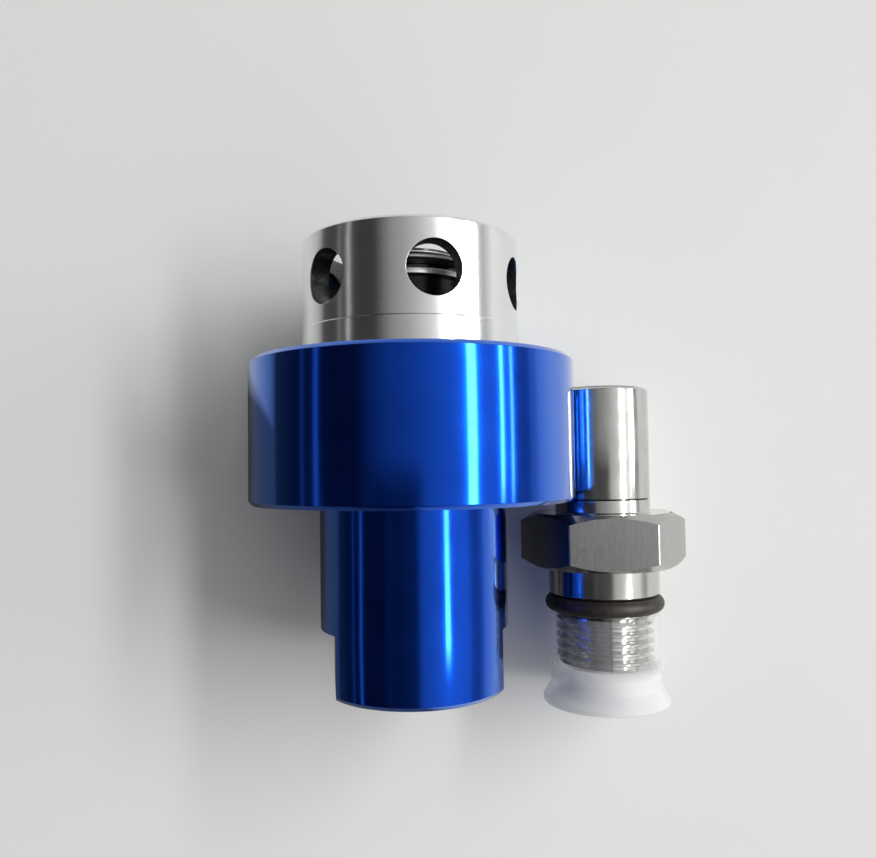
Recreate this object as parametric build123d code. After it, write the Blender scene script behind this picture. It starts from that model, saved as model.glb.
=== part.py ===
from build123d import *
from math import cos, radians, sin, sqrt, tan
import os

# Rotary union for coolant, without bearings, in millimetres.
# The housing's axis is Y. Y = 0 is the flange's mounting face and +Y points to the mouth that takes
# the rotor. +Z is up. The housing lies on its flange rim, and the rotor lies beside it at +X.

# Housing outside
flange_diameter = 50.0
flange_length = 21.7
flange_edge = 0.6
nose_diameter = 28.75
nose_edge = 0.7
nose_root_radius = 0.6
wrench_flat_depth = 2.125
wrench_flat_length = 9.4
wrench_flat_turn = 11.4
mount_hole_diameter = 4.5
mount_hole_inset = 4.5
mount_hole_count = 4
mount_hole_turn = 45.0

# Housing inside, from the mounting face to the supply port
register_depth = 6.0
cage_seat_depth = 0.3
chamber_diameter = 25.6
chamber_depth = 16.0
gland_length = 4.8
bush_length = 8.0
bush_wall = 1.45
flow_bore = 10.0
flow_bore_length = 4.65
port_tap_diameter = 15.0
port_thread_length = 12.0
port_lead_in = 1.0

# Vent cage
guide_relief = 0.4
spigot_wall = 2.6
ring_ledge = 1.0
cage_wall = 3.3
band_height = 0.2
band_length = 4.7
mouth_chamfer = 0.9
mouth_land = 3.3
vent_diameter = 8.0
vent_count = 6
vent_land = 0.8
vent_turn = 17.1
cage_seal_section = 1.5
cage_seal_station = 3.0

# Retaining ring in the cage
ring_station = 5.1
ring_thickness = 1.2
ring_groove_depth = 0.6
ring_width = 2.4
ring_gap_angle = 24.0
ring_lug_diameter = 3.6
ring_lug_hole = 1.7

# Seal carrier and what is on its head
tail_wall = 2.5
tail_inside_bush = 1.2
carrier_flange_thickness = 3.4
neck_step = 0.6
collar_length = 0.8
seal_cup_step = 0.4
seal_cup_wall = 0.6
seal_cup_floor_wall = 0.35
band_gap = 0.1
head_band_wall = 0.54
head_band_length = 2.0
head_band_chamfer = 0.25
seal_tip_inset = 2.25
seal_proud = 1.25
seal_bore_step = 0.7
seal_edge = 0.2
stroke = 5.0

# Tail seal
tail_seal_section = 2.2
backup_thickness = 1.2

# Pins and springs behind the carrier's flange
seat_thickness = 1.6
pin_diameter = 2.5
pin_chamber_gap = 0.65
pin_gland_wall = 0.4
pin_depth = 4.0
pin_tip_gap = 0.6
pin_count = 2
spring_outside = 3.4
spring_chamber_gap = 1.5
spring_wire = 0.4
spring_turns = 8
spring_recess = 0.6
station_turn = 26.0
station_count = 8

# Rotor
tube_diameter = 15.85
tube_length = 20.6
tube_edge = 0.35
neck_length = 2.15
mark_width = 0.25
mark_depth = 0.3
hex_width = 24.0
hex_length = 8.95
hex_face_inset = 0.6
hex_chamfer_angle = 30.0
pilot_diameter = 18.3
pilot_length = 4.65
pilot_edge = 0.3
o_ring_groove_length = 2.85
o_ring_section = 2.62
thread_diameter = 16.0
thread_relief = 0.8
thread_length = 9.0
thread_chamfer = 1.0
rotor_bore = 9.0
rotor_seal_wall = 1.025
rotor_seal_length = 5.0
rotor_seal_bore = 9.4
rotor_seal_proud = 0.2

# Thread cap
cap_wall = 0.9
cap_rim_step = 1.4
cap_rim_length = 0.8
cap_flare_length = 2.2
cap_end_room = 4.7
cap_end_wall = 1.2
cap_start_gap = 0.35
cap_edge = 0.25

# Clearances
register_clearance = 0.02
bush_clearance = 0.01
slide_clearance = 0.05
guide_clearance = 0.2
seal_clearance = 0.03
loose_clearance = 0.1
stop_gap = 0.1
tail_stop_gap = 0.6
slot_clearance = 0.15
cap_clearance = 0.15
rotor_rest_gap = 0.7
rotor_hex_gap = 2.7

# Diameters of the cage, which follow the chamber
guide_bore = chamber_diameter - 2 * guide_relief
spigot_diameter = guide_bore + 2 * spigot_wall
cage_bore = guide_bore + 2 * ring_ledge
groove_radius = cage_bore / 2 + ring_groove_depth
cage_diameter = cage_bore + 2 * cage_wall
band_diameter = cage_diameter + 2 * band_height

# Pins and springs lie inside the chamber's wall, the tail's gland lies inside the pins, and the tail
# slides in the gland
pin_circle = chamber_diameter - pin_diameter - 2 * pin_chamber_gap
spring_circle = chamber_diameter - spring_outside - 2 * spring_chamber_gap
gland_radius = (pin_circle - pin_diameter) / 2 - pin_gland_wall
slide_radius = gland_radius - tail_seal_section
bush_radius = slide_radius + bush_wall
tail_diameter = 2 * (slide_radius - slide_clearance)
carrier_bore = tail_diameter - 2 * tail_wall

# The carrier's head and its seal ring
neck_diameter = tail_diameter + 2 * neck_step
stator_seal_diameter = neck_diameter + 2 * seal_cup_step
stator_seal_bore = carrier_bore + 2 * seal_bore_step
seal_cup_radius = stator_seal_diameter / 2 + seal_clearance
band_inner_radius = seal_cup_radius + seal_cup_wall + seal_clearance
collar_diameter = 2 * (band_inner_radius + head_band_wall)

# Stations in front of the mounting face, up to the cage's mouth
ring_front = ring_station + ring_thickness + loose_clearance
carrier_flange_front = ring_station - stop_gap
carrier_flange_back = carrier_flange_front - carrier_flange_thickness
vent_station = ring_front + vent_land + vent_diameter / 2
cage_length = vent_station + vent_diameter / 2 + mouth_land
stator_seal_tip = cage_length - seal_tip_inset
head_band_front = stator_seal_tip - seal_proud
collar_front = head_band_front - head_band_length - band_gap
collar_station = collar_front - collar_length
seal_cup_floor = collar_station + seal_cup_floor_wall

# Stations behind the mounting face, down to the end of the nose
seat_front = -chamber_depth + seat_thickness
gland_end = -chamber_depth - gland_length
bush_end = gland_end - bush_length
tail_end = bush_end + tail_inside_bush
tail_room_end = tail_end - stroke - tail_stop_gap
port_floor = tail_room_end - flow_bore_length
nose_end = port_floor - port_thread_length
flange_back = -flange_length
wrench_flat_width = nose_diameter - 2 * wrench_flat_depth

# Turns about the axis, from +Z towards +X
pin_turns = [station_turn + 360 / pin_count * i for i in range(pin_count)]
spring_slots = [i for i in range(station_count) if i % (station_count // pin_count)]
spring_turn_list = [station_turn + 360 / station_count * i for i in spring_slots]

# Rotor's own diameters
hex_face_diameter = hex_width - 2 * hex_face_inset
rotor_seal_diameter = tube_diameter - 2 * rotor_seal_wall
groove_floor = thread_diameter / 2 - thread_relief
o_ring_centre = groove_floor + seal_clearance + o_ring_section / 2
cap_bore_radius = thread_diameter / 2 + cap_clearance
cap_wall_radius = cap_bore_radius + cap_wall
cap_rim_radius = cap_wall_radius + cap_rim_step

# Rotor's place beside the housing, and its stations from the hexagon's tube side
rotor_drop = (flange_diameter - hex_width) / 2
rotor_reach = (flange_diameter + tube_diameter) / 2 + rotor_rest_gap
rotor_x = sqrt(rotor_reach**2 - rotor_drop**2)
rotor_place = Location((rotor_x, flange_back - rotor_hex_gap, -rotor_drop))
pilot_start = -hex_length
o_ring_start = pilot_start - pilot_length
thread_start = o_ring_start - o_ring_groove_length
thread_end = thread_start - thread_length


def turned(outline):
    """Solid of revolution about Y from (radius, station) points."""
    return revolve(make_face(Polyline(*outline, close=True)), Axis.Y)


def ring(outer_radius, inner_radius, start, end, chamfer=0.0):
    """Plain ring about Y between two stations, with chamfered outer edges if asked."""
    outline = [(inner_radius, start), (outer_radius - chamfer, start)]
    if chamfer:
        outline += [(outer_radius, start + chamfer), (outer_radius, end - chamfer)]
    outline += [(outer_radius - chamfer, end), (inner_radius, end)]
    return turned(outline)


def o_ring(section, centre_radius, station):
    """Torus about Y."""
    circle = Pos(centre_radius, station) * Circle(section / 2)
    return revolve(circle, Axis.Y)


def rod(diameter, start, end, circle_radius=0.0, turn=0.0):
    """Cylinder along Y; turn is measured from +Z towards +X."""
    x = circle_radius * sin(radians(turn))
    z = circle_radius * cos(radians(turn))
    return Pos(x, (start + end) / 2, z) * Rot(90, 0, 0) * Cylinder(diameter / 2, abs(end - start))


def slot(width, start, end, circle_radius, outer_radius, turn):
    """Open slot along Y: a round bottom on the circle and straight walls out to a radius."""
    reach = outer_radius - circle_radius
    walls = Pos(0, (start + end) / 2, circle_radius + reach / 2) * Box(width, abs(end - start), reach)
    return rod(width, start, end, circle_radius, turn) + Rot(0, turn, 0) * walls


def housing_body():
    nose_radius = nose_diameter / 2
    flange_radius = flange_diameter / 2
    root = nose_radius + nose_root_radius
    outside = turned([
        (0, nose_end),
        (nose_radius - nose_edge, nose_end),
        (nose_radius, nose_end + nose_edge),
        (nose_radius, flange_back - nose_root_radius),
        (root, flange_back),
        (flange_radius - flange_edge, flange_back),
        (flange_radius, flange_back + flange_edge),
        (flange_radius, -flange_edge),
        (flange_radius - flange_edge, 0),
        (0, 0),
    ])
    port_radius = port_tap_diameter / 2
    seat_radius = band_diameter / 2 + loose_clearance
    inside = turned([
        (0, 0),
        (seat_radius, 0),
        (seat_radius, -cage_seat_depth),
        (spigot_diameter / 2, -cage_seat_depth),
        (spigot_diameter / 2, -register_depth),
        (chamber_diameter / 2, -register_depth),
        (chamber_diameter / 2, -chamber_depth),
        (gland_radius, -chamber_depth),
        (gland_radius, gland_end),
        (bush_radius, gland_end),
        (bush_radius, bush_end),
        (slide_radius + loose_clearance, bush_end),
        (slide_radius + loose_clearance, tail_room_end),
        (flow_bore / 2, tail_room_end),
        (flow_bore / 2, port_floor),
        (port_radius, port_floor),
        (port_radius, nose_end + port_lead_in),
        (port_radius + port_lead_in, nose_end),
        (0, nose_end),
    ])
    body = outside - inside
    body -= wrench_flats()
    for i in range(mount_hole_count):
        turn = mount_hole_turn + 360 / mount_hole_count * i
        body -= rod(mount_hole_diameter, flange_back - 1, 1, flange_diameter / 2 - mount_hole_inset, turn)
    for turn in pin_turns:
        body -= rod(pin_diameter, -chamber_depth - pin_depth, -chamber_depth, pin_circle / 2, turn)
    return body


def wrench_flats():
    """The two segments that the parallel flats take off the end of the nose."""
    segments = Part()
    for side in (-1, 1):
        centre = side * (wrench_flat_width / 2 + nose_diameter / 2)
        block = Pos(centre, nose_end + wrench_flat_length / 2, 0)
        block *= Box(nose_diameter, wrench_flat_length, 2 * nose_diameter)
        segments += Rot(0, wrench_flat_turn, 0) * block
    return segments


def vent_cage():
    spigot_radius = spigot_diameter / 2 - register_clearance
    spigot_end = -register_depth + loose_clearance
    groove_depth = cage_seal_section
    groove_half = cage_seal_section / 2 + loose_clearance
    outer_radius = cage_diameter / 2
    cage = turned([
        (guide_bore / 2, spigot_end),
        (spigot_radius, spigot_end),
        (spigot_radius, -cage_seal_station - groove_half),
        (spigot_radius - groove_depth, -cage_seal_station - groove_half),
        (spigot_radius - groove_depth, -cage_seal_station + groove_half),
        (spigot_radius, -cage_seal_station + groove_half),
        (spigot_radius, -cage_seat_depth),
        (cage_diameter / 2, -cage_seat_depth),
        (cage_diameter / 2, 0),
        (band_diameter / 2, 0),
        (band_diameter / 2, band_length),
        (outer_radius, band_length),
        (outer_radius, cage_length - mouth_chamfer / 2),
        (outer_radius - mouth_chamfer / 2, cage_length),
        (cage_bore / 2 + mouth_chamfer, cage_length),
        (cage_bore / 2, cage_length - mouth_chamfer),
        (cage_bore / 2, ring_front),
        (groove_radius, ring_front),
        (groove_radius, ring_station),
        (guide_bore / 2, ring_station),
    ])
    for i in range(vent_count):
        drill = Pos(0, vent_station, cage_diameter / 2) * Cylinder(vent_diameter / 2, cage_diameter / 2)
        cage -= Rot(0, vent_turn + 360 / vent_count * i, 0) * drill
    return cage


def cage_o_ring():
    section = cage_seal_section - 2 * seal_clearance
    return o_ring(section, (spigot_diameter - cage_seal_section) / 2, -cage_seal_station)


def retaining_ring():
    """Internal spring ring: an open ring with a holed lug at each end of its gap."""
    outer_radius = groove_radius - seal_clearance
    start = ring_station + loose_clearance / 2
    end = start + ring_thickness
    body = ring(outer_radius, outer_radius - ring_width, start, end)
    gap = Pos(0, (start + end) / 2, -outer_radius) * Box(
        2 * outer_radius * sin(radians(ring_gap_angle / 2)), 2 * ring_thickness, 2 * outer_radius
    )
    body -= gap
    lug_circle = outer_radius - ring_width
    for side in (-1, 1):
        lug_turn = 180 + side * (ring_gap_angle / 2 + 8)
        body += rod(ring_lug_diameter, start, end, lug_circle, lug_turn)
        body -= rod(ring_lug_hole, start - 1, end + 1, lug_circle, lug_turn)
    return body


def guide_bush():
    return ring(bush_radius - bush_clearance, slide_radius, bush_end, gland_end)


def secondary_o_ring():
    section = tail_seal_section - 2 * seal_clearance
    station = -chamber_depth - backup_thickness - loose_clearance - tail_seal_section / 2
    return o_ring(section, slide_radius + tail_seal_section / 2, station)


def backup_ring():
    start = -chamber_depth - backup_thickness
    return ring(gland_radius - seal_clearance, slide_radius, start, -chamber_depth)


def spring_seat_ring():
    outer_radius = chamber_diameter / 2 - guide_clearance
    seat = ring(outer_radius, slide_radius + loose_clearance, -chamber_depth, seat_front)
    for turn in pin_turns:
        width = pin_diameter + 2 * slot_clearance
        seat -= slot(width, -chamber_depth - 1, seat_front + 1, pin_circle / 2, outer_radius + 1, turn)
    for turn in spring_turn_list:
        pocket = spring_outside + 2 * loose_clearance
        seat -= rod(pocket, seat_front - spring_recess, seat_front + 1, spring_circle / 2, turn)
    return seat


def anti_rotation_pins():
    pins = []
    for turn in pin_turns:
        tip = carrier_flange_front - pin_tip_gap
        pins.append(rod(pin_diameter - 2 * bush_clearance, -chamber_depth - pin_depth, tip,
                        pin_circle / 2, turn))
    return Compound(children=pins)


def spring(turn):
    """Helical compression spring between the seat ring and the pocket in the carrier's flange."""
    start = seat_front - spring_recess + spring_wire / 2
    end = carrier_flange_back + spring_recess - spring_wire / 2
    height = end - start
    coil = Helix(height / spring_turns, height, (spring_outside - spring_wire) / 2)
    wire = sweep(Plane(coil @ 0, z_dir=coil % 0) * Circle(spring_wire / 2), coil, is_frenet=True)
    x = spring_circle / 2 * sin(radians(turn))
    z = spring_circle / 2 * cos(radians(turn))
    return Pos(x, start, z) * Rot(-90, 0, 0) * wire


def seal_carrier():
    flange_radius = guide_bore / 2 - guide_clearance
    cup_outer = seal_cup_radius + seal_cup_wall
    cup_front = head_band_front - head_band_chamfer
    carrier = turned([
        (carrier_bore / 2, tail_end),
        (tail_diameter / 2, tail_end),
        (tail_diameter / 2, carrier_flange_back),
        (flange_radius, carrier_flange_back),
        (flange_radius, carrier_flange_front),
        (neck_diameter / 2, carrier_flange_front),
        (neck_diameter / 2, collar_station),
        (collar_diameter / 2, collar_station),
        (collar_diameter / 2, collar_front),
        (cup_outer, collar_front),
        (cup_outer, cup_front),
        (seal_cup_radius, cup_front),
        (seal_cup_radius, seal_cup_floor),
        (carrier_bore / 2, seal_cup_floor),
    ])
    for turn in pin_turns:
        width = pin_diameter + 2 * slot_clearance
        carrier -= slot(width, carrier_flange_back - 1, carrier_flange_front + 1, pin_circle / 2,
                        flange_radius + 1, turn)
    for turn in spring_turn_list:
        pocket = spring_outside + 2 * loose_clearance
        carrier -= rod(pocket, carrier_flange_back - 1, carrier_flange_back + spring_recess,
                       spring_circle / 2, turn)
    return carrier


def seal_ring_band():
    start = collar_front + band_gap
    return ring(collar_diameter / 2, band_inner_radius, start, head_band_front, head_band_chamfer)


def stator_seal_ring():
    outer_radius = stator_seal_diameter / 2
    return ring(outer_radius, stator_seal_bore / 2, seal_cup_floor, stator_seal_tip, seal_edge)


def hexagon():
    """Hexagon along Y with a flat below, its corners turned off at both ends."""
    prism = extrude(RegularPolygon(hex_width / 2, 6, major_radius=False), hex_length)
    prism = Rot(90, 0, 0) * prism
    cone_radius = hex_width
    face_radius = hex_face_diameter / 2
    fall = (cone_radius - face_radius) * tan(radians(hex_chamfer_angle))
    cone = turned([
        (0, -hex_length),
        (face_radius, -hex_length),
        (cone_radius, -hex_length + fall),
        (cone_radius, -fall),
        (face_radius, 0),
        (0, 0),
    ])
    return prism & cone


def rotor_body():
    tube_radius = tube_diameter / 2
    mark_start = neck_length
    mark_end = neck_length + mark_width
    tube = turned([
        (0, 0),
        (tube_radius, 0),
        (tube_radius, mark_start),
        (tube_radius - mark_depth, mark_start),
        (tube_radius - mark_depth, mark_end),
        (tube_radius, mark_end),
        (tube_radius, tube_length - tube_edge),
        (tube_radius - tube_edge, tube_length),
        (0, tube_length),
    ])
    pilot_radius = pilot_diameter / 2
    thread_radius = thread_diameter / 2
    shank = turned([
        (0, pilot_start),
        (pilot_radius, pilot_start),
        (pilot_radius, o_ring_start + pilot_edge),
        (pilot_radius - pilot_edge, o_ring_start),
        (groove_floor, o_ring_start),
        (groove_floor, thread_start),
        (thread_radius, thread_start),
        (thread_radius, thread_end + thread_chamfer),
        (thread_radius - thread_chamfer, thread_end),
        (0, thread_end),
    ])
    body = tube + hexagon() + shank
    body -= rod(rotor_bore, thread_end - 1, tube_length + 1)
    seat_radius = rotor_seal_diameter / 2 + register_clearance
    body -= rod(2 * seat_radius, tube_length - rotor_seal_length + rotor_seal_proud, tube_length + 1)
    return rotor_place * body


def rotor_seal_ring():
    end = tube_length + rotor_seal_proud
    start = end - rotor_seal_length
    return rotor_place * ring(rotor_seal_diameter / 2, rotor_seal_bore / 2, start, end, seal_edge)


def rotor_o_ring():
    station = o_ring_start - o_ring_groove_length / 2
    return rotor_place * o_ring(o_ring_section, o_ring_centre, station)


def thread_cap():
    """Open cup over the thread, flared to a rim at its closed end."""
    mouth = thread_start - cap_start_gap
    floor = thread_end - cap_end_room
    end = floor - cap_end_wall
    rim_start = end + cap_rim_length
    cup = turned([
        (0, end),
        (cap_rim_radius - cap_edge, end),
        (cap_rim_radius, end + cap_edge),
        (cap_rim_radius, rim_start),
        (cap_wall_radius, rim_start + cap_flare_length),
        (cap_wall_radius, mouth),
        (cap_bore_radius, mouth),
        (cap_bore_radius, floor),
        (0, floor),
    ])
    return rotor_place * cup


nodes = {
    "housing_body": housing_body(),
    "vent_cage": vent_cage(),
    "cage_o_ring": cage_o_ring(),
    "retaining_ring": retaining_ring(),
    "guide_bush": guide_bush(),
    "secondary_o_ring": secondary_o_ring(),
    "backup_ring": backup_ring(),
    "spring_seat_ring": spring_seat_ring(),
    "anti_rotation_pins": anti_rotation_pins(),
    "seal_carrier": seal_carrier(),
    "seal_ring_band": seal_ring_band(),
    "stator_seal_ring": stator_seal_ring(),
    "rotor_body": rotor_body(),
    "rotor_seal_ring": rotor_seal_ring(),
    "rotor_o_ring": rotor_o_ring(),
    "thread_cap": thread_cap(),
}
for number, turn in enumerate(spring_turn_list, start=1):
    nodes[f"spring_{number}"] = spring(turn)

os.makedirs("parts", exist_ok=True)
for name, solid in nodes.items():
    export_step(solid, f"parts/{name}.step")
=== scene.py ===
from math import acos, asin, atan2, cos, floor, pi, radians, sin, sqrt, tan

import bmesh
import bpy
import numpy as np
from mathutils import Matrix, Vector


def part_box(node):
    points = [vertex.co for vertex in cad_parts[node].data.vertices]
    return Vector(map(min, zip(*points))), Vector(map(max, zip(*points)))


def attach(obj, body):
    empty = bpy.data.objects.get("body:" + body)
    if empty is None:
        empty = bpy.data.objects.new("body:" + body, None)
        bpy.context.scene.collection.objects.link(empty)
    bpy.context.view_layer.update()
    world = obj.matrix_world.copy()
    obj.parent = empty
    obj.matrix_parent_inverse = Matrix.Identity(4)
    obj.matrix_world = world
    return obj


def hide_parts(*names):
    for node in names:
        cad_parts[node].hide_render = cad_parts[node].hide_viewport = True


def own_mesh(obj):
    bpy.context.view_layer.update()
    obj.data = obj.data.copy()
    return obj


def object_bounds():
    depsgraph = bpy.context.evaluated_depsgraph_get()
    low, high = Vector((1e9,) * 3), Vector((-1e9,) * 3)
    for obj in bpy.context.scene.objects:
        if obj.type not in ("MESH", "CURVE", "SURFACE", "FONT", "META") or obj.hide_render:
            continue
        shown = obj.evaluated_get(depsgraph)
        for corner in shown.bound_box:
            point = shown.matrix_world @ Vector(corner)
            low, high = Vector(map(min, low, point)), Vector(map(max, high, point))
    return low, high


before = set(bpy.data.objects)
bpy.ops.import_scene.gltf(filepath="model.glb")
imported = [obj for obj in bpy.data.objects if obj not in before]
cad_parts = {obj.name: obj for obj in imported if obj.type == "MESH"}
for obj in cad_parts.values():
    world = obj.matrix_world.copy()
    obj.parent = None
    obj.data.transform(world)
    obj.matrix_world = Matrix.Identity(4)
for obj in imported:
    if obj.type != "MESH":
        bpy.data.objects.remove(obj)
cad_low, cad_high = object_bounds()

# Every size below is in millimetres and every turn in degrees, measured from +Z towards +X.
MM = 0.001


def span(node, axis):
    """Lowest and highest coordinate of a CAD node along one axis, in millimetres."""
    low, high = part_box(node)
    return low[axis] / MM, high[axis] / MM


def middle(node, axis):
    """Middle of a CAD node along one axis, in millimetres."""
    low, high = span(node, axis)
    return (low + high) / 2


X, Y, Z = 0, 1, 2

# Housing
nose_end, mounting_face = span("housing_body", Y)
flange_radius = span("housing_body", Z)[1]
flange_length = 21.7
flange_edge = 0.6
nose_radius = 14.375
nose_edge = 0.7
nose_root_radius = 0.6
wrench_flat_distance = 12.25
wrench_flat_length = 9.4
wrench_flat_turn = 101.4
mount_hole_radius = 2.25
mount_hole_circle = 20.5
mount_hole_count = 4
mount_hole_turn = 45.0
cage_seat_radius = 17.0
cage_seat_depth = 0.3
register_radius = 15.0
register_depth = 6.0
chamber_radius = 12.8
chamber_depth = 16.0
gland_radius = 9.25
gland_end = -20.8
bush_end = -28.8
bush_radius = 8.5
tail_room_radius = 7.15
tail_room_end = -33.2
flow_radius = 5.0
port_length = 12.0
port_radius = 7.5
port_lead_in = 1.0
port_pitch = 1.337
port_thread_depth = 0.8

# Vent cage
cage_foot, cage_front = span("vent_cage", Y)
band_radius = span("vent_cage", Z)[1]
band_height = 0.2
band_length = 4.7
band_edge_depth = 0.08
band_edge_length = 0.14
cage_radius = band_radius - band_height
cage_bore = 13.4
guide_bore = 12.4
ring_groove_radius = 14.0
ring_groove_start = 5.1
ring_groove_end = 6.4
mouth_chamfer = 0.9
vent_radius = 4.0
vent_count = 6
vent_station = 11.2
vent_turn = 17.1
vent_margin = 4.7
vent_edge = 0.1
seal_groove_radius = 13.48
seal_groove_start = -3.85
seal_groove_end = -2.15
register_gap = 0.02

# Seal carrier and what is on its head
carrier_tail_end = span("seal_carrier", Y)[0]
band_start, band_front = span("seal_ring_band", Y)
seal_tip = span("stator_seal_ring", Y)[1]
carrier_bore = 4.5
tail_radius = 7.0
carrier_flange_radius = 12.2
carrier_flange_start = 1.6
carrier_flange_end = 5.0
neck_radius = 7.6
collar_radius = 9.2
collar_length = 0.8
collar_end = band_start - 0.1
collar_start = collar_end - collar_length
cup_floor = collar_start + 0.35
cup_radius = 8.03
cup_outer_radius = 8.63
cup_front = band_front - 0.25
head_band_bore = 8.66
stator_seal_radius = 8.0
stator_seal_bore = 5.2
seal_nose_length = 0.5
seal_nose_step = 0.5
collar_edge = 0.1
band_back_depth = 0.1
band_back_length = 0.25
band_groove_width = 0.12
band_groove_depth = 0.09
band_groove_land = 0.2
band_plain_back = 0.4
band_plain_front = 0.5
band_front_chamfer = 0.2
seal_shoulder_line = 0.2
seal_shoulder_depth = 0.1
seal_shoulder_edge = 0.05
seal_nose_edge = 0.08
pin_slot_width = 2.8
pin_circle = 10.9
spring_pocket_radius = 1.8
spring_pocket_depth = 0.6
spring_circle = 9.6
spring_count = 6
station_turn = 26.0
station_count = 8

# Rotor
rotor_x = middle("rotor_body", X)
rotor_z = middle("rotor_o_ring", Z)
rotor_axis = (rotor_x, rotor_z)
thread_end, tube_end = span("rotor_body", Y)
hex_start = tube_end - 20.6
tube_radius = 7.925
tube_edge = 0.35
mark_start = hex_start + 2.15
mark_width = 0.25
mark_depth = 0.3
hex_length = 8.95
hex_half_width = 12.0
hex_face_radius = 11.4
hex_corner_radius = 13.78
hex_chamfer_angle = 30.0
hex_root_radius = 0.35
pilot_radius = 9.15
pilot_length = 4.65
pilot_edge = 0.3
groove_radius = 7.2
groove_length = 2.85
thread_radius = 8.0
thread_pitch = 1.5
thread_depth = 0.92
thread_chamfer = 1.0
thread_runout = 0.9
rotor_bore = 4.5
rotor_seat_radius = 6.92
rotor_seat_depth = 4.8
rotor_seal_bore = 4.7
rotor_seal_radius = 6.9
rotor_seal_edge = 0.15
rotor_thread_length = 9.0
rotor_bore_chamfer = 0.4
o_ring_wire_radius = 1.31

# Thread cap
cap_end, cap_mouth = span("thread_cap", Y)
cap_rim_radius = middle("thread_cap", X) - rotor_x + span("thread_cap", Z)[1] - rotor_z
cap_bore = 8.15
cap_wall = 0.9
cap_rim_length = 0.8
cap_flare_length = 2.2
cap_end_wall = 1.2

# Mesh fineness
ROUND = 384
FLAT_COLUMNS = 66
ROUND_COLUMNS = 122
HEX_FLAT_COLUMNS = 48
HEX_CORNER_COLUMNS = 16
HEX_CHAMFER_STEPS = 14
O_RING_STEPS = 48
SHARP = radians(22)
THREAD_STEPS = (0.0, 0.125, 0.28, 0.4375, 0.6875, 0.84)
PORT_THREAD_STEPS = (0.0, 0.2, 0.35, 0.5, 0.7, 0.85)


def rounded(corners, steps=4):
    """Points of an outline whose corners, given as (radius, station, fillet), are rounded."""
    points = []
    count = len(corners)
    for i, (r, y, fillet) in enumerate(corners):
        if not fillet:
            points.append((r, y))
            continue
        here = np.array((r, y))
        back = np.array(corners[i - 1][:2]) - here
        ahead = np.array(corners[(i + 1) % count][:2]) - here
        back /= np.linalg.norm(back)
        ahead /= np.linalg.norm(ahead)
        half = acos(max(-1, min(1, float(back @ ahead)))) / 2
        bisector = (back + ahead) / np.linalg.norm(back + ahead)
        centre = here + bisector * fillet / sin(half)
        first = here + back * fillet / tan(half) - centre
        last = here + ahead * fillet / tan(half) - centre
        for step in range(steps + 1):
            share = step / steps
            turn = pi - 2 * half
            arc = first * sin((1 - share) * turn) + last * sin(share * turn)
            points.append(tuple(centre + arc / sin(turn)))
    return points


def circle(r, y, columns, centre, start=0.0):
    """One ring of points about an axis, from the turn at which it starts."""
    turns = [start + 2 * pi * i / columns for i in range(columns)]
    return [(centre[0] + r * sin(t), y, centre[1] + r * cos(t)) for t in turns]


def lathe(outline, centre=(0.0, 0.0), start=0.0):
    """Rings of points for an outline of (radius, station)."""
    return [circle(r, y, ROUND, centre, start) for r, y in outline]


def solid(name, sheets, body, material, nodes):
    """A mesh piece from sheets of rings; each ring is closed, and sheets that share rings are welded."""
    points, faces = [], []
    for rings in sheets:
        base = len(points)
        columns = len(rings[0])
        for ring in rings:
            points.extend(ring)
        for i in range(len(rings) - 1):
            for j in range(columns):
                k = (j + 1) % columns
                row, following = base + i * columns, base + (i + 1) * columns
                faces.append((row + j, row + k, following + k, following + j))
    mesh = bpy.data.meshes.new(name)
    mesh.from_pydata([(x * MM, y * MM, z * MM) for x, y, z in points], [], faces)
    bm = bmesh.new()
    bm.from_mesh(mesh)
    bmesh.ops.remove_doubles(bm, verts=bm.verts, dist=2e-7)
    bmesh.ops.dissolve_degenerate(bm, edges=bm.edges, dist=1e-7)
    bmesh.ops.recalc_face_normals(bm, faces=bm.faces)
    bm.to_mesh(mesh)
    bm.free()
    piece = bpy.data.objects.new(name, mesh)
    bpy.context.scene.collection.objects.link(piece)
    finish_piece(piece, body, material, nodes)
    return piece


def finish_piece(piece, body, material, nodes):
    """Smooth faces with sharp edges, the material, and what the piece rides on and stands for."""
    for polygon in piece.data.polygons:
        polygon.use_smooth = True
    piece.data.set_sharp_from_angle(angle=SHARP)
    piece.data.materials.clear()
    piece.data.materials.append(material)
    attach(piece, body)
    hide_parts(*nodes)


def add_finish(piece, material, belongs, centre=(0.0, 0.0)):
    """Gives the faces whose (radius, station) belongs says so one more material."""
    piece.data.materials.append(material)
    index = len(piece.data.materials) - 1
    for polygon in piece.data.polygons:
        x, y, z = (v / MM for v in polygon.center)
        if belongs(sqrt((x - centre[0]) ** 2 + (z - centre[1]) ** 2), y):
            polygon.material_index = index


def closed(outline):
    """The outline with its first point again at the end."""
    return list(outline) + [outline[0]]


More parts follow.
